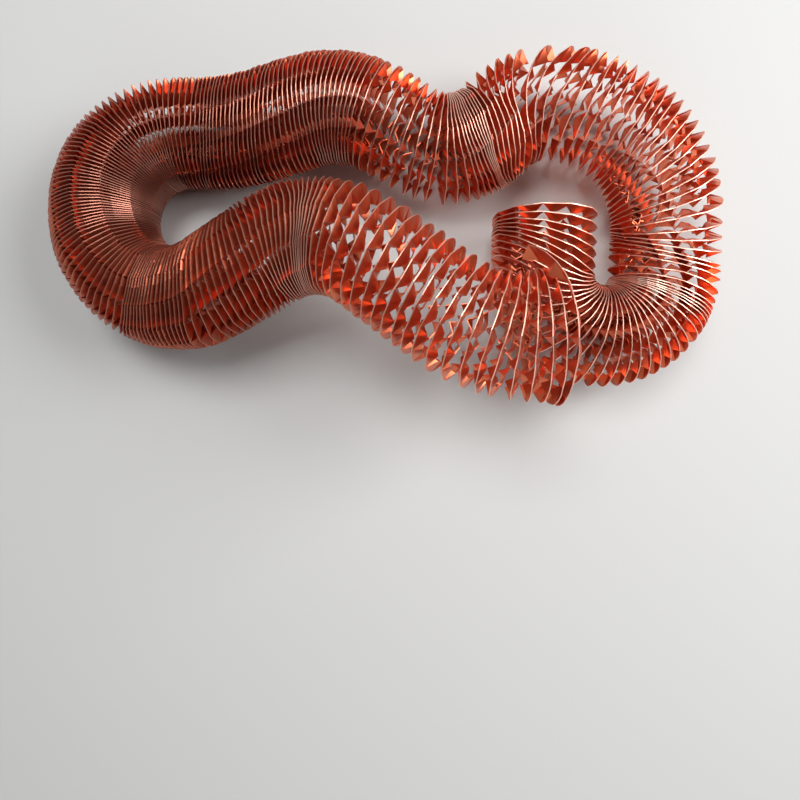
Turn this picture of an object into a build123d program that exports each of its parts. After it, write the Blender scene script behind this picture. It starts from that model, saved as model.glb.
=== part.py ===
"""Pleated copper fin winding: one flat copper strip, wound on edge into a long springy sleeve.

The outer edge of the strip is a plain twelve sided rim. Its inner edge is gathered into pleats,
because the metal is not stretched: the same length of strip has to fit the smaller circle.
The sleeve lies in the loops in which it fell, with its stretched end resting across its tail.
At that end each turn has slipped half a pleat out of step, and the last turns have opened wider.
"""

import os
from math import cos, hypot, pi, sin

from build123d import *

# Strip
strip_width = 5.0
strip_thickness = 0.3

# Winding
bore_radius = 15.0
pleats_per_turn = 12
coil_pitch = 5.7

# Stretched end
end_pitch = 6.5
stretched_length = 110.0
slipped_pleats_per_turn = 12.5
slipped_length = 80.0
mouth_growth = 3.0
mouth_length = 35.0

# Course of the sleeve on the floor, from its tail to its stretched end
tail_run = 23.0
hook_clearance = 3.0
hook_angle = 180.0
outer_run = 20.0
right_loop_clearance = 24.0
right_loop_angle = 86.0
top_run = 4.0
first_kink_clearance = 5.0
first_kink_angle = 54.0
second_kink_clearance = 4.0
second_kink_angle = 80.0
crest_lead = 13.0
crest_radius = 40.0
crest_angle = 48.0
crest_run = 16.0
trim_radius = 72.0
trim_angle = 17.0
left_lead = 10.0
left_loop_clearance = 12.0
left_loop_angle = 206.0
saddle_lead = 28.0
saddle_radius = 34.0
saddle_angle = 63.0
crossing_run = 34.0
end_bend_radius = 37.0
end_bend_angle = 36.0
end_run = 13.0

# Where the stretched end crosses over the tail
crossing_gap = 0.2
rise_length = 200.0
level_length = 5.0

fin_radius = bore_radius + strip_width
pleat_angle = 2 * pi / pleats_per_turn
fold_length = fin_radius * sin(pleat_angle / 2)
fold_chord = 2 * bore_radius * sin(pleat_angle / 4)
pleat_depth = (fold_length**2 - fold_chord**2) ** 0.5
fold_thickness = strip_thickness * fold_length / fold_chord
crossing_height = 2 * fin_radius + crossing_gap


def lay_course():
    """Return the centreline in plan: straight runs joined by tangent bends."""
    with BuildLine() as course:
        step = Line((0, 0), (0, -tail_run))
        for run, radius, angle in (
            (0, fin_radius + hook_clearance, hook_angle),
            (outer_run, fin_radius + right_loop_clearance, right_loop_angle),
            (top_run, fin_radius + first_kink_clearance, first_kink_angle),
            (0, fin_radius + second_kink_clearance, -second_kink_angle),
            (crest_lead, crest_radius, crest_angle),
            (crest_run, trim_radius, -trim_angle),
            (left_lead, fin_radius + left_loop_clearance, left_loop_angle),
            (saddle_lead, saddle_radius, -saddle_angle),
            (crossing_run, end_bend_radius, end_bend_angle),
        ):
            if run:
                step = Line(step @ 1, step @ 1 + (step % 1) * run)
            step = JernArc(step @ 1, step % 1, radius, angle)
        Line(step @ 1, step @ 1 + (step % 1) * end_run)
    return course.wires()[0]


def rise(distance_to_end):
    """Return how far the centreline is lifted above its level run, and its slope there."""
    share = 1 - (distance_to_end - level_length) / rise_length
    share = min(max(share, 0.0), 1.0)
    height = crossing_height * share**2 * (3 - 2 * share)
    slope = crossing_height * 6 * share * (1 - share) / rise_length
    return height, slope


def pitch(distance_to_end):
    """Return the advance of one turn, which grows towards the stretched end."""
    share = max(0.0, 1 - distance_to_end / stretched_length)
    return coil_pitch + (end_pitch - coil_pitch) * share


def growth(distance_to_end):
    """Return how much wider than the coil the turns stand, which is only so at the open mouth."""
    return mouth_growth * max(0.0, 1 - distance_to_end / mouth_length) ** 2


def half_pleat(distance_to_end):
    """Return the angle that half a pleat takes up around the sleeve."""
    slipped = distance_to_end < slipped_length
    return pi / (slipped_pleats_per_turn if slipped else pleats_per_turn)


def stations(course):
    """Yield for every half pleat the centre, the way along, the way outward and the growth."""
    travelled = turned = 0.0
    while travelled < course.length:
        distance_to_end = course.length - travelled
        share = travelled / course.length
        height, slope = rise(distance_to_end)
        level = (course % share).normalized()
        centre = course @ share + Vector(0, 0, fin_radius + height)
        along = (level + Vector(0, 0, slope)).normalized()
        aside = Vector(0, 0, 1).cross(level)
        outward = aside * cos(turned) + along.cross(aside) * sin(turned)
        yield centre, along, outward, growth(distance_to_end)
        turned += half_pleat(distance_to_end)
        advance = pitch(distance_to_end) * half_pleat(distance_to_end) / (2 * pi)
        travelled += advance / hypot(1, slope)


def strip_edge(station, radius, shift, thickness):
    """Return the two corners of the strip at one edge, on its front and its back face."""
    centre, along, outward, wider = station
    middle = centre + outward * (radius + wider) + along * shift
    return middle + along * (thickness / 2), middle - along * (thickness / 2)


def facet(*corners):
    """Return one flat facet between three or more corners."""
    return Face(Wire.make_polygon(corners, close=True))


def wind_strip(course):
    """Return every facet of the pleated strip, rim, folds and cut ends."""
    rim, inner = [], []
    for count, station in enumerate(stations(course)):
        fold = pleat_depth / 2 if count % 2 else -pleat_depth / 2
        inner.append(strip_edge(station, bore_radius, fold, fold_thickness))
        if count % 2 == 0:
            rim.append(strip_edge(station, fin_radius, 0, strip_thickness))
    facets = []
    for count in range(len(rim) - 1):
        valley, ridge, next_valley = inner[2 * count : 2 * count + 3]
        start, end = rim[count], rim[count + 1]
        for side in (0, 1):
            facets.append(facet(start[side], valley[side], ridge[side]))
            facets.append(facet(start[side], ridge[side], end[side]))
            facets.append(facet(end[side], ridge[side], next_valley[side]))
        for first, second in ((start, end), (valley, ridge), (ridge, next_valley)):
            facets.append(facet(first[0], second[0], first[1]))
            facets.append(facet(second[0], second[1], first[1]))
    for edge, fold in ((rim[0], inner[0]), (rim[-1], inner[2 * len(rim) - 2])):
        facets.append(facet(edge[0], edge[1], fold[1], fold[0]))
    return facets


os.makedirs("parts", exist_ok=True)

winding = Solid(Shell(wind_strip(lay_course())))
box = winding.bounding_box()

with BuildPart() as fin_strip:
    add(winding.moved(Location((-box.center().X, -box.center().Y, -box.min.Z))), clean=False)
fin_strip.part.label = "fin_strip"
export_step(fin_strip.part, "parts/fin_strip.step", write_pcurves=False)
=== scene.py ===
"""Dress the pleated copper fin winding: every turn of its strip, its copper and a plain stage."""

from math import pi, radians

import bpy
import numpy as np
from bpy.props import FloatProperty, FloatVectorProperty, IntProperty, PointerProperty
from mathutils import Matrix, Vector


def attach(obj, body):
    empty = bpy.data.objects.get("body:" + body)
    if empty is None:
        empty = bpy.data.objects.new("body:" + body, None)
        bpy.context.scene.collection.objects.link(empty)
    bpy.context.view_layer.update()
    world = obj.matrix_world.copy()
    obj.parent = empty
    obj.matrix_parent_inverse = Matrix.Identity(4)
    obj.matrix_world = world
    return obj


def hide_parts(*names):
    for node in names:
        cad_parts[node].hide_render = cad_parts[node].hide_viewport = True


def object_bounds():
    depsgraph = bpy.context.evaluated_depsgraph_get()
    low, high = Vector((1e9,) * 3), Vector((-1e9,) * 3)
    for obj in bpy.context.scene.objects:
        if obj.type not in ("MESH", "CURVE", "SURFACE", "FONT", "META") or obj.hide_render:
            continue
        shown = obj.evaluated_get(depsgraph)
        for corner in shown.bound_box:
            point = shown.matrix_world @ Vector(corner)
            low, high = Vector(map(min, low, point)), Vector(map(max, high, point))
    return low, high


bl_info = {
    "name": "Pleated Fin Winding",
    "version": (1, 0, 0),
    "blender": (4, 5, 0),
    "location": "View3D > Sidebar > Fin winding",
    "description": "Winds a pleated copper fin strip along the course in which it lies",
    "category": "Add Mesh",
}

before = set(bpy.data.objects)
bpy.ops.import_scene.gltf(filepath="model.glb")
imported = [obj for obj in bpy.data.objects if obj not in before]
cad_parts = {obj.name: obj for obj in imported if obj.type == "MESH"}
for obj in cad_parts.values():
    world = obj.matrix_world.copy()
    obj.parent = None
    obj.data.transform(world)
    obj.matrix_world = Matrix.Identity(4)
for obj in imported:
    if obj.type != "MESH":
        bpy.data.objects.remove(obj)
CAD_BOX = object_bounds()

SEED = 12

# Each bend of the course, from the tail: straight run before it, radius, degrees turned to the left.
BENDS = {
    "hook": (0.023, 0.023, 180),
    "right_loop": (0.020, 0.044, 86),
    "first_kink": (0.004, 0.025, 54),
    "second_kink": (0.0, 0.024, -80),
    "crest": (0.013, 0.040, 48),
    "trim": (0.016, 0.072, -17),
    "left_loop": (0.010, 0.032, 206),
    "saddle": (0.028, 0.034, -63),
    "end_bend": (0.034, 0.037, 36),
}
END_RUN = 0.013
FIRST_HEADING = -pi / 2
COURSE_STEP = 0.00005

# How the strip is wound along the course: where each stretch starts from the tail, the advance of
# one turn, the share by which that advance varies, and the pleats in one turn.
STRETCHES = {
    "tail": (0.0, 0.00313, 0.18, 12.03),
    "hook_end": (0.0654, 0.00234, 0.18, 12.03),
    "tight_bend": (0.0823, 0.00139, 0.10, 12.03),
    "loop_start": (0.0912, 0.00290, 0.30, 12.1),
    "loop_side": (0.125, 0.0034, 0.20, 12.1),
    "loop_top": (0.152, 0.0048, 0.16, 12.1),
    "first_kink": (0.1785, 0.0050, 0.12, 12.1),
    "gather": (0.2015, 0.00158, 0.06, 12.03),
    "fan_foot": (0.2230, 0.0020, 0.08, 12.03),
    "second_kink": (0.2315, 0.0037, 0.12, 12.03),
    "top_run": (0.263, 0.00172, 0.12, 12.02),
    "left_loop": (0.3358, 0.00158, 0.06, 12.02),
    "tight_loop": (0.3710, 0.00130, 0.06, 12.02),
    "left_loop_end": (0.3970, 0.0021, 0.10, 12.03),
    "saddle": (0.4419, 0.0020, 0.12, 12.03),
    "crossing": (0.5020, 0.0034, 0.06, 12.3),
    "open_run": (0.5075, 0.00445, 0.06, 12.5),
    "open_end": (0.5710, 0.0029, 0.05, 12.5),
}
STRETCH_BLEND = 0.003

# How the turns lean: place from the tail, degrees by which their left side runs ahead, degrees by
# which their top runs ahead.
LEANS = {
    "tail_end": (0.0, 0, 0),
    "tail": (0.019, 30, 0),
    "hook_start": (0.028, 34, 0),
    "hook": (0.056, 8, 0),
    "tight_bend": (0.085, 0, 0),
    "loop_start": (0.098, 14, -8),
    "loop_foot": (0.105, 12, -15),
    "loop_side": (0.113, -3, -19),
    "loop_shoulder": (0.121, -16, -8),
    "loop_turn": (0.131, -15, 0),
    "loop_top": (0.152, -9, 2),
    "loop_end": (0.161, 0, 1),
    "kink_start": (0.175, 16, 0),
    "kink": (0.188, 34, 3),
    "kink_end": (0.196, 36, 1),
    "gather": (0.2035, 26, 6),
    "fan": (0.211, 12.5, 15),
    "fan_end": (0.2185, -3, 8),
    "fan_foot": (0.2255, -7, 0),
    "second_kink": (0.234, 0, -4),
    "crest_start": (0.243, -9, -7),
    "crest": (0.262, 3, 0),
    "crest_end": (0.275, 10, 0),
    "top_run": (0.302, 20, 0),
    "trim": (0.330, 4, -12),
    "left_loop_start": (0.354, -16, 0),
    "left_loop": (0.385, -11, 0),
    "left_loop_end": (0.408, 0, 14),
    "saddle_start": (0.421, 3, 22),
    "saddle": (0.438, 15, 4),
    "saddle_top": (0.452, 27, 2),
    "saddle_end": (0.470, 6, 23),
    "crossing_start": (0.487, -2, 26),
    "crossing": (0.502, -1, 8),
    "open_start": (0.508, -3, 6),
    "open_run": (0.516, -8, 3),
    "open_middle": (0.532, -4, 5),
    "open_bend": (0.548, -2, 0),
    "open_end": (0.564, 2, -4),
    "mouth_start": (0.572, 9, -6),
    "mouth": (0.580, -2, 0),
    "mouth_end": (0.587, -6, 3),
}
END_ANGLE = radians(255)

# One pleat: its valley, and the two corners of its broad ridge. Each has its place in the pleat, how
# far its inner edge is folded, and how much farther out than the bore its tip stands.
PLEAT_PLACES = np.array([0.0, 0.34, 0.66])
PLEAT_FOLDS = np.array([-1.0, 0.94, 1.06])
PLEAT_TIPS = np.array([0.0, 0.0007, -0.0001])

# Number of turns after which a random lean to the left or of the top, or a dent of the rim, changes.
LEFT_LEAN_REACH = 3.1
TOP_LEAN_REACH = 3.7
DENT_REACH = 0.23

# The loose last turn: the angle at which it stands out most, the angle over which it does, and how
# far back along the course it springs, as a share of how far it stands out.
LOOSE_ANGLE = 0.1
LOOSE_SPREAD = 0.75
LOOSE_SPRING = 1.2

# Patches of tarnish: how fine they are, the noise at which they begin and are full, their strength.
PATCH_SCALE = 60.0
PATCH_NOISE = (0.40, 0.75)
PATCH_STRENGTH = 0.6

# Places along X between which painted shade darkens the copper and dims the painted highlight on its
# cut edges, and how far that painted shade darkens the copper.
COPPER_SHADE_SPAN = (0.02, -0.10)
EDGE_SHADE_SPAN = (0.05, -0.06)
COPPER_SHADE_STRENGTH = 0.36

# Shares of the strip's width, from its rim, between which its face turns into its cut edge, which is
# painted pale as a painted highlight.
EDGE_BAND = (0.03, 0.01)

METALLIC = 0.92
FACE_NOISE = (0.2, 0.8)
FACE_ROUGHNESS = (0.24, 0.42)
EDGE_ROUGHNESS = 0.42
FLOOR_ROUGHNESS = 0.9

# The camera as fitted to the photograph. Its focus is in points of the picture.
CAMERA_PLACE = (0.01525, -0.05604, 0.23535)
CAMERA_TARGET = (0.00896, -0.06749, 0.020)
CAMERA_ROLL = radians(1.475)
CAMERA_FOCUS = 545.2
CAMERA_NEAR = 0.01
PICTURE_SIDE = 800
SENSOR_WIDTH = 36.0

# Lamps: place, side, power.
LAMPS = {
    "window": ((0.80, 0.20, 0.55), 0.60, 10.6),
    "overhead": ((-0.10, 0.28, 0.80), 0.40, 4.3),
    "fill": ((0.05, -0.75, 0.50), 0.60, 1.0),
}

# Strength of the sky as a lamp, and as it is seen at the horizon. The floor runs into that horizon
# between two distances from the middle, and the sky darkens between two heights of the look.
SKY = 0.08
HORIZON = 0.62
SKY_FADE = (0.30, 0.65)
FLOOR_FADE = (0.3, 1.1)
FLOOR_SIDE = 3.0


class StripSizes(bpy.types.PropertyGroup):
    """Sizes of the strip and of the sleeve that it is wound into."""

    rim_radius: FloatProperty(
        name="Rim radius",
        description="Radius of the plain outer edge of every turn",
        default=0.0198,
        unit="LENGTH",
    )
    bore_radius: FloatProperty(
        name="Bore radius",
        description="Radius of the pleated inner edge",
        default=0.015,
        unit="LENGTH",
    )
    thickness: FloatProperty(
        name="Thickness",
        description="Thickness of the copper strip",
        default=0.0003,
        unit="LENGTH",
    )
    pleats: IntProperty(
        name="Pleats",
        description="Pleats in one turn, as the strip was gathered before it slipped",
        default=12,
    )
    rim_roundness: FloatProperty(
        name="Rim roundness",
        description="How far the rim bows out between two pleats, from a polygon to a circle",
        default=0.78,
        subtype="FACTOR",
        min=0.0,
        max=1.0,
    )
    rim_wave: FloatProperty(
        name="Rim wave",
        description="Share of the fold that still shows at the rim",
        default=0.05,
        subtype="FACTOR",
    )
    mouth_growth: FloatProperty(
        name="Mouth growth",
        description="How much wider the very last turn stands than the others",
        default=0.0024,
        unit="LENGTH",
    )
    loose_turn: FloatProperty(
        name="Loose turn",
        description="How far the start of the very last turn stands out from the others",
        default=0.0065,
        unit="LENGTH",
    )
    mouth_length: FloatProperty(
        name="Mouth length",
        description="Length of the course over which the open end widens",
        default=0.035,
        unit="LENGTH",
    )
    floor_radius: FloatProperty(
        name="Floor radius",
        description="Height of the level centreline above the floor",
        default=0.020,
        unit="LENGTH",
    )
    crossing_height: FloatProperty(
        name="Crossing height",
        description="How far the stretched end is lifted where it lies across the tail",
        default=0.0402,
        unit="LENGTH",
    )
    rise_length: FloatProperty(
        name="Rise length",
        description="Length of the course over which the stretched end climbs",
        default=0.200,
        unit="LENGTH",
    )
    level_length: FloatProperty(
        name="Level length",
        description="Level stretch at the very end",
        default=0.005,
        unit="LENGTH",
    )


class Unevenness(bpy.types.PropertyGroup):
    """How unevenly the strip was wound and has been handled."""

    bunching_reach: FloatProperty(
        name="Bunching reach",
        description="Number of turns after which their advance changes",
        default=1.6,
    )
    lean: FloatProperty(
        name="Lean",
        description="Angle by which single turns lean out of line",
        default=radians(1.0),
        subtype="ANGLE",
    )
    depth_spread: FloatProperty(
        name="Depth spread",
        description="Share by which the depth of the pleats varies",
        default=0.16,
        subtype="FACTOR",
    )
    edge_spread: FloatProperty(
        name="Edge spread",
        description="How far the tips of the pleats stand nearer to or farther from the middle",
        default=0.0005,
        unit="LENGTH",
    )
    rim_dents: FloatProperty(
        name="Rim dents",
        description="How far the rim is pressed in where it was handled",
        default=0.0004,
        unit="LENGTH",
    )


class Finish(bpy.types.PropertyGroup):
    """Colours of the copper and of the stage."""

    copper: FloatVectorProperty(
        name="Copper",
        description="Colour of the clean rolled copper",
        default=(0.86, 0.22, 0.10),
        subtype="COLOR",
    )
    # The tarnished colour of the copper in patches, and also the colour of the painted shade that
    # darkens the copper towards the tight loop.
    tarnish_and_shade: FloatVectorProperty(
        name="Tarnish",
        description="Colour of the duller, redder copper",
        default=(0.42, 0.085, 0.05),
        subtype="COLOR",
    )
    # Painted highlight: the cut edges and a thin band of face beside the rim are pale, so that they
    # read as bright lines under any lamp.
    edge_highlight: FloatVectorProperty(
        name="Cut edge",
        description="Colour of the fresh metal on the cut edges of the strip",
        default=(0.93, 0.55, 0.42),
        subtype="COLOR",
    )
    # Painted highlight dimmed by painted shade: the edge colour used towards the tight loop.
    shaded_edge_highlight: FloatVectorProperty(
        name="Dull edge",
        description="Colour of the cut edges where the copper is duller",
        default=(0.42, 0.17, 0.12),
        subtype="COLOR",
    )
    floor: FloatVectorProperty(
        name="Floor",
        description="Colour of the floor",
        default=(0.62, 0.62, 0.61),
        subtype="COLOR",
    )


def lay_course(sizes):
    """Return the centreline as arrays over its length.

    The heading is the running sum of the curvature, the place is the running sum of the heading,
    and the height is a smooth step (three times the square less twice the cube) at the end.
    """
    runs = np.array([(run, radius * radians(abs(turn))) for run, radius, turn in BENDS.values()])
    bends = np.array([(0.0, np.sign(turn) / radius) for _, radius, turn in BENDS.values()])
    lengths = np.append(runs.ravel(), END_RUN)
    curvatures = np.append(bends.ravel(), 0.0)
    distance = np.arange(COURSE_STEP / 2, lengths.sum(), COURSE_STEP)
    curvature = curvatures[np.searchsorted(np.cumsum(lengths), distance)]
    heading = FIRST_HEADING + (np.cumsum(curvature) - curvature / 2) * COURSE_STEP
    plan = np.cumsum(np.column_stack([np.cos(heading), np.sin(heading)]), axis=0) * COURSE_STEP
    share = 1 - (lengths.sum() - distance - sizes.level_length) / sizes.rise_length
    share = np.clip(share, 0, 1)
    height = sizes.floor_radius + sizes.crossing_height * share**2 * (3 - 2 * share)
    slope = sizes.crossing_height * 6 * share * (1 - share) / sizes.rise_length
    return {"distance": distance, "heading": heading, "plan": plan, "height": height, "slope": slope}


def wander(generator, places, reach):
    """Return a smooth random value between -1 and 1 at every place.

    Random knots stand one reach apart, and the value eases from each knot to the next.
    """
    knots = generator.uniform(-1, 1, int(np.max(places) / reach) + 3)
    below = np.floor(places / reach).astype(int)
    between = places / reach - below
    eased = between**2 * (3 - 2 * between)
    return knots[below] * (1 - eased) + knots[below + 1] * eased


def wind_along(course, uneven, generator):
    """Return the running number of turns and of pleats along the course.

    The turns are the running sum of the length over the advance of one turn, and the pleats are the
    running sum of the turns times the pleats in one. Each stretch blends into the next one.
    """
    starts, advances, bunching, pleats = np.array(list(STRETCHES.values())).T
    stretch = np.searchsorted(starts, course["distance"], side="right") - 1
    width = int(STRETCH_BLEND / COURSE_STEP)
    blend = np.ones(width) / width
    half = width // 2
    advance, bunch, rate = (
        np.convolve(np.pad(values[stretch], half, mode="edge"), blend, mode="same")[half:-half]
        for values in (advances, bunching, pleats)
    )
    plain = np.cumsum(COURSE_STEP / advance)
    advance = advance * (1 + bunch * wander(generator, plain, uneven.bunching_reach))
    turns = np.cumsum(np.hypot(1, course["slope"]) * COURSE_STEP / advance)
    return turns, np.cumsum(np.diff(turns, prepend=0) * rate)


def lean_ahead(distance, angle, turn, sizes, uneven, generator):
    """Return how far each column stands ahead of its place on the centreline.

    It is the radius times the tangent of the lean, times the cosine of the angle for a turn whose
    left side runs ahead, and times the sine for one whose top does. The leans ease from place to place.
    """
    places, left, top = np.array(list(LEANS.values())).T
    own = uneven.lean
    left = np.interp(distance, places, np.radians(left))
    left = left + own * wander(generator, turn, LEFT_LEAN_REACH)
    top = np.interp(distance, places, np.radians(top))
    top = top + own * wander(generator, turn, TOP_LEAN_REACH)
    return sizes.rim_radius * (np.tan(left) * np.cos(angle) + np.tan(top) * np.sin(angle))


def axes_at(course, station, angle):
    """Return the centreline's place at every station, its way ahead, and the way outward.

    The way outward is the left of the centreline times the cosine of the angle, plus its upper side
    times the sine.
    """
    heading, slope, height, plan_x, plan_y = (
        np.interp(station, course["distance"], values)
        for values in (course["heading"], course["slope"], course["height"], *course["plan"].T)
    )
    centre = np.column_stack([plan_x, plan_y, height])
    ahead = np.column_stack([np.cos(heading), np.sin(heading), slope])
    ahead /= np.linalg.norm(ahead, axis=1)[:, None]
    aside = np.column_stack([-np.sin(heading), np.cos(heading), np.zeros_like(heading)])
    upward = np.cross(ahead, aside)
    return centre, ahead, aside * np.cos(angle)[:, None] + upward * np.sin(angle)[:, None]


def wind_strip(sizes, uneven):
    """Return the four corners of the strip at every column: its front face, then its back face.

    A column stands at every corner of the pleats, at an angle that grows with the turns. Its inner
    edge is shifted along the centreline, to one side in a valley and to the other on a ridge, by
    half the depth at which the folded edge keeps its length: the root of the square of the fold's
    length less that of its chord. The last turn starts at its left side with a bulge, the
    exponential of less the square of the angle, which lies outside its neighbours.
    """
    generator = np.random.default_rng(SEED)
    course = lay_course(sizes)
    turns, pleats = wind_along(course, uneven, generator)
    count = int(pleats[-1])
    place = np.append(np.tile(PLEAT_PLACES, count), PLEAT_PLACES[0])
    fold = np.append(np.tile(PLEAT_FOLDS, count), PLEAT_FOLDS[0])
    tip = np.append(np.tile(PLEAT_TIPS, count), PLEAT_TIPS[0])
    pleat = np.append(np.repeat(np.arange(count), len(PLEAT_PLACES)), count) + place
    distance = np.interp(pleat, pleats, course["distance"])
    turn = np.interp(pleat, pleats, turns)
    angle = 2 * pi * (turn - turns[-1]) + END_ANGLE
    loose = np.exp(-(((angle - LOOSE_ANGLE) / LOOSE_SPREAD) ** 2))
    station = distance + lean_ahead(distance, angle, turn, sizes, uneven, generator)
    station = station - LOOSE_SPRING * sizes.loose_turn * loose**2
    centre, ahead, outward = axes_at(course, station, angle)

    half_side = pi / sizes.pleats
    fold_length = sizes.rim_radius * np.sin(half_side)
    fold_chord = 2 * sizes.bore_radius * np.sin(half_side / 2)
    depth = np.sqrt(fold_length**2 - fold_chord**2)
    spread = 1 + uneven.depth_spread * generator.uniform(-1, 1, len(pleat))
    to_end = course["distance"][-1] - distance
    wider = sizes.mouth_growth * np.clip(1 - to_end / sizes.mouth_length, 0, 1) ** 2
    wider = wider + sizes.loose_turn * loose
    chord = np.cos(half_side) / np.cos((place - 0.5) * 2 * half_side)
    rim = sizes.rim_radius * (chord + (1 - chord) * sizes.rim_roundness)
    rim = rim + wider - uneven.rim_dents * wander(generator, turn, DENT_REACH) ** 2
    inner = sizes.bore_radius + wider + tip
    inner = inner + uneven.edge_spread * generator.uniform(-1, 1, len(pleat))
    radius = np.column_stack([rim, inner])
    shift = (depth / 2 * fold * spread)[:, None] * np.array([sizes.rim_wave, 1])
    thick = sizes.thickness * np.array([1, fold_length / fold_chord])
    middle = centre[:, None] + outward[:, None] * radius[..., None] + ahead[:, None] * shift[..., None]
    half = ahead[:, None] * (thick / 2)[None, :, None]
    corners = np.concatenate([middle + half, (middle - half)[:, ::-1]], axis=1)
    return corners, turn * 2 * pi * sizes.rim_radius


def centre_on_cad(points):
    """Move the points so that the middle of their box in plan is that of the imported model."""
    low, high = (np.array(corner) for corner in CAD_BOX)
    move = (low + high) / 2 - (points.min(axis=(0, 1)) + points.max(axis=(0, 1))) / 2
    move[2] = 0
    return points + move


def strip_mesh(name, columns, along):
    """Make the closed mesh of a pleated strip from its columns of four corners.

    Between two columns each face of the strip is two flat triangles. They meet in the crease that
    runs from the rim to the tip of the ridge, so their diagonals turn round behind the ridge. The
    two edges have two triangles each, and a cap closes either end. The map holds the length along
    the strip, and 0 on its rim and 1 on its inner edge.
    """
    count = len(columns)
    climbing = [(0, 1, 5), (0, 5, 4), (2, 3, 6), (3, 7, 6)]
    falling = [(0, 1, 4), (1, 5, 4), (2, 3, 7), (2, 7, 6)]
    edges = [(3, 0, 4), (3, 4, 7), (1, 2, 6), (1, 6, 5)]
    faces = np.concatenate([
        (np.arange(first, count - 1, 3)[:, None, None] * 4 + np.array(sides + edges)).reshape(-1, 3)
        for first, sides in ((0, climbing), (1, climbing), (2, falling))
    ])
    last = 4 * (count - 1)
    caps = np.array([(2, 1, 0), (3, 2, 0), (last, last + 1, last + 2), (last, last + 2, last + 3)])
    faces = np.concatenate([faces, caps])[:, ::-1]

    mesh = bpy.data.meshes.new(name)
    mesh.vertices.add(count * 4)
    mesh.vertices.foreach_set("co", columns.astype(np.float32).ravel())
    mesh.loops.add(faces.size)
    mesh.loops.foreach_set("vertex_index", faces.astype(np.int32).ravel())
    mesh.polygons.add(len(faces))
    mesh.polygons.foreach_set("loop_start", np.arange(0, faces.size, 3, dtype=np.int32))
    mesh.polygons.foreach_set("use_smooth", np.zeros(len(faces), dtype=bool))
    mesh.update(calc_edges=True)

    across = np.tile([0.0, 1.0, 1.0, 0.0], count)
    places = np.column_stack([np.repeat(along, 4), across])
    layer = mesh.uv_layers.new(name="strip")
    layer.data.foreach_set("uv", places[faces.ravel()].astype(np.float32).ravel())
    mesh.validate()
    return mesh


def add_node(tree, kind, **inputs):
    """Add a shader node and set its inputs by name, with spaces written as underscores."""
    node = tree.nodes.new(kind)
    for name, value in inputs.items():
        node.inputs[name.replace("_", " ")].default_value = value
    return node


def new_material(name):
    """Return a node material with its Principled shader, ready to be wired."""
    material = bpy.data.materials.new(name)
    material.use_nodes = True
    return material, material.node_tree, material.node_tree.nodes["Principled BSDF"]


def mix_colours(tree, factor, first, second):
    """Add a colour mix and return its result. A colour is a socket or a plain value."""
    node = add_node(tree, "ShaderNodeMix")
    node.data_type = "RGBA"
    tree.links.new(factor, node.inputs["Factor"])
    for socket, colour in ((node.inputs["A"], first), (node.inputs["B"], second)):
        if isinstance(colour, bpy.types.NodeSocket):
            tree.links.new(colour, socket)
        else:
            socket.default_value = (*colour, 1)
    return node.outputs["Result"]


def mix_values(tree, factor, first, second):
    """Add a mix of a value socket and a plain value, and return its result."""
    node = add_node(tree, "ShaderNodeMix")
    tree.links.new(factor, node.inputs["Factor"])
    tree.links.new(first, node.inputs["A"])
    node.inputs["B"].default_value = second
    return node.outputs["Result"]


def ramp(tree, value, low, high, start=0.0, end=1.0):
    """Add a map range from low..high to start..end, and return its result."""
    node = add_node(tree, "ShaderNodeMapRange", From_Min=low, From_Max=high, To_Min=start, To_Max=end)
    tree.links.new(value, node.inputs["Value"])
    return node.outputs["Result"]


def join(tree, operation, first, second):
    """Add a maths node on two value sockets and return its result."""
    node = add_node(tree, "ShaderNodeMath")
    node.operation = operation
    tree.links.new(first, node.inputs[0])
    tree.links.new(second, node.inputs[1])
    return node.outputs["Value"]


def copper_material(finish):
    """Rolled copper: tarnished patches, painted shade darkening it towards the tight loop, and cut
    edges painted pale as a painted highlight.
    """
    material, tree, shader = new_material("rolled_copper")
    places = add_node(tree, "ShaderNodeTexCoord")
    patches = add_node(tree, "ShaderNodeTexNoise", Scale=PATCH_SCALE, Detail=4.0, Roughness=0.6)
    tree.links.new(places.outputs["Object"], patches.inputs["Vector"])
    noise = patches.outputs["Fac"]
    place = add_node(tree, "ShaderNodeSeparateXYZ")
    tree.links.new(places.outputs["Object"], place.inputs["Vector"])
    patchy = ramp(tree, noise, *PATCH_NOISE, 0.0, PATCH_STRENGTH)
    # Painted shade: along X, towards the tight loop, the copper is mixed towards the tarnished colour.
    painted_shade = ramp(tree, place.outputs["X"], *COPPER_SHADE_SPAN, 0.0, COPPER_SHADE_STRENGTH)
    body = mix_colours(tree, join(tree, "ADD", patchy, painted_shade), finish.copper, finish.tarnish_and_shade)

    strip = add_node(tree, "ShaderNodeUVMap")
    strip.uv_map = "strip"
    across = add_node(tree, "ShaderNodeSeparateXYZ")
    tree.links.new(strip.outputs["UV"], across.inputs["Vector"])
    # Painted highlight on the cut edges, dimmed by painted shade along X towards the tight loop.
    duller = ramp(tree, place.outputs["X"], *EDGE_SHADE_SPAN)
    edge = mix_colours(tree, duller, finish.edge_highlight, finish.shaded_edge_highlight)
    on_edge = ramp(tree, across.outputs["Y"], *EDGE_BAND)
    tree.links.new(mix_colours(tree, on_edge, body, edge), shader.inputs["Base Color"])
    rolled = ramp(tree, noise, *FACE_NOISE, *FACE_ROUGHNESS)
    rough = mix_values(tree, on_edge, rolled, EDGE_ROUGHNESS)
    tree.links.new(rough, shader.inputs["Roughness"])
    shader.inputs["Metallic"].default_value = METALLIC
    return material


def seen_rays(tree):
    """Add a value that is 1 where the camera, a mirroring or a clear surface sees what is shaded."""
    path = add_node(tree, "ShaderNodeLightPath")
    seen = join(tree, "MAXIMUM", path.outputs["Is Camera Ray"], path.outputs["Is Glossy Ray"])
    return join(tree, "MAXIMUM", seen, path.outputs["Is Transmission Ray"])


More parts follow.
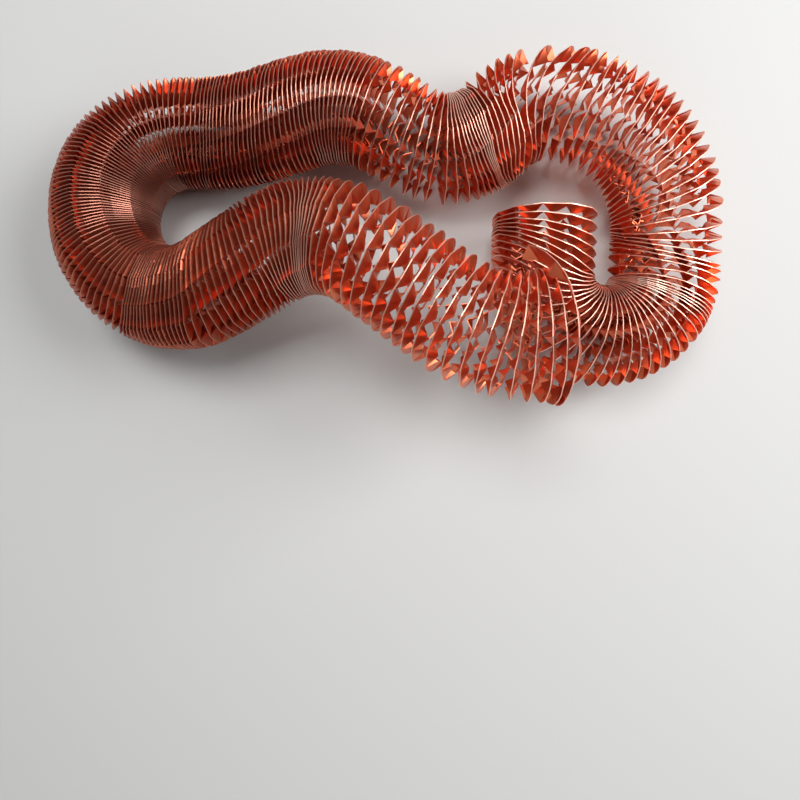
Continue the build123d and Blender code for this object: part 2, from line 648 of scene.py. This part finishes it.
def floor_material(finish):
    """Plain matt floor, which far from the winding runs into the pale horizon where it is seen."""
    material, tree, shader = new_material("plain_floor")
    away = add_node(tree, "ShaderNodeVectorMath")
    away.operation = "LENGTH"
    tree.links.new(add_node(tree, "ShaderNodeTexCoord").outputs["Object"], away.inputs[0])
    far = ramp(tree, away.outputs["Value"], *FLOOR_FADE)
    tree.links.new(mix_colours(tree, far, finish.floor, (0, 0, 0)), shader.inputs["Base Color"])
    shader.inputs["Roughness"].default_value = FLOOR_ROUGHNESS
    shader.inputs["Emission Color"].default_value = (1, 1, 1, 1)
    glow = join(tree, "MULTIPLY", seen_rays(tree), ramp(tree, far, 0.0, 1.0, 0.0, HORIZON))
    tree.links.new(glow, shader.inputs["Emission Strength"])
    return material


def show(mesh, material):
    """Put a mesh into the scene with its material, and return its object."""
    mesh.materials.append(material)
    piece = bpy.data.objects.new(mesh.name, mesh)
    bpy.context.scene.collection.objects.link(piece)
    return piece


class WINDING_OT_strip(bpy.types.Operator):
    """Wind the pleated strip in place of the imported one"""

    bl_idname = "winding.strip"
    bl_label = "Fin strip"

    def execute(self, context):
        columns, along = wind_strip(context.scene.strip_sizes, context.scene.unevenness)
        mesh = strip_mesh("wound_strip", centre_on_cad(columns), along)
        piece = show(mesh, copper_material(context.scene.finish))
        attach(piece, "root")
        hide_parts("fin_strip")
        return {"FINISHED"}


def pale_sky():
    """Return a world that lights little, and is seen and mirrored pale at its horizon."""
    sky = bpy.data.worlds.new("sky")
    sky.use_nodes = True
    tree = sky.node_tree
    split = add_node(tree, "ShaderNodeSeparateXYZ")
    tree.links.new(add_node(tree, "ShaderNodeTexCoord").outputs["Generated"], split.inputs["Vector"])
    low = ramp(tree, split.outputs["Z"], *SKY_FADE, 1.0, 0.0)
    pale = join(tree, "MULTIPLY", seen_rays(tree), low)
    background = tree.nodes["Background"]
    background.inputs["Color"].default_value = (1, 1, 1, 1)
    tree.links.new(ramp(tree, pale, 0.0, 1.0, SKY, HORIZON), background.inputs["Strength"])
    return sky


def add_lamps():
    """Add square lamps that face the middle of the winding."""
    for name, (place, side, power) in LAMPS.items():
        lamp = bpy.data.lights.new(name, "AREA")
        lamp.shape = "SQUARE"
        lamp.size = side
        lamp.energy = power
        stand = bpy.data.objects.new(name, lamp)
        stand.location = place
        stand.rotation_euler = (-Vector(place)).to_track_quat("-Z", "Y").to_euler()
        bpy.context.scene.collection.objects.link(stand)


def add_camera():
    """Add the camera: it looks from its place at its target, turned by its roll."""
    place = Vector(CAMERA_PLACE)
    ahead = (Vector(CAMERA_TARGET) - place).normalized()
    right = ahead.cross(Vector((0, 1, 0))).normalized()
    right = Matrix.Rotation(CAMERA_ROLL, 3, -ahead) @ right
    up = right.cross(ahead)
    lens = bpy.data.cameras.new("camera")
    lens.sensor_width = SENSOR_WIDTH
    lens.lens = SENSOR_WIDTH * CAMERA_FOCUS / PICTURE_SIDE
    lens.clip_start = CAMERA_NEAR
    camera = bpy.data.objects.new("camera", lens)
    turned = Matrix((right, up, -ahead)).transposed().to_4x4()
    camera.matrix_world = Matrix.Translation(place) @ turned
    bpy.context.scene.collection.objects.link(camera)
    bpy.context.scene.camera = camera


class WINDING_OT_stage(bpy.types.Operator):
    """Set the floor, the lamps, the sky and the camera"""

    bl_idname = "winding.stage"
    bl_label = "Stage"

    def execute(self, context):
        half = FLOOR_SIDE / 2
        mesh = bpy.data.meshes.new("floor")
        corners = [(-half, -half, 0), (half, -half, 0), (half, half, 0), (-half, half, 0)]
        mesh.from_pydata(corners, [], [(0, 1, 2, 3)])
        show(mesh, floor_material(context.scene.finish))
        add_lamps()
        add_camera()
        context.scene.world = pale_sky()
        context.scene.view_settings.view_transform = "Standard"
        return {"FINISHED"}


class WINDING_PT_panel(bpy.types.Panel):
    """Lists the steps that build the winding"""

    bl_label = "Fin winding"
    bl_idname = "WINDING_PT_panel"
    bl_space_type = "VIEW_3D"
    bl_region_type = "UI"
    bl_category = "Fin winding"

    def draw(self, context):
        for group in (context.scene.strip_sizes, context.scene.unevenness, context.scene.finish):
            for name in group.__annotations__:
                self.layout.prop(group, name)
        for operator in (WINDING_OT_strip, WINDING_OT_stage):
            self.layout.operator(operator.bl_idname)


CLASSES = (StripSizes, Unevenness, Finish, WINDING_OT_strip, WINDING_OT_stage, WINDING_PT_panel)


def register():
    """Register the classes and hang the sizes on the scene."""
    for each in CLASSES:
        bpy.utils.register_class(each)
    bpy.types.Scene.strip_sizes = PointerProperty(type=StripSizes)
    bpy.types.Scene.unevenness = PointerProperty(type=Unevenness)
    bpy.types.Scene.finish = PointerProperty(type=Finish)


def unregister():
    """Take the sizes off the scene and unregister the classes."""
    del bpy.types.Scene.finish
    del bpy.types.Scene.unevenness
    del bpy.types.Scene.strip_sizes
    for each in reversed(CLASSES):
        bpy.utils.unregister_class(each)


def main():
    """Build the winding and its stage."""
    register()
    bpy.ops.winding.strip()
    bpy.ops.winding.stage()


if __name__ == "__main__":
    main()
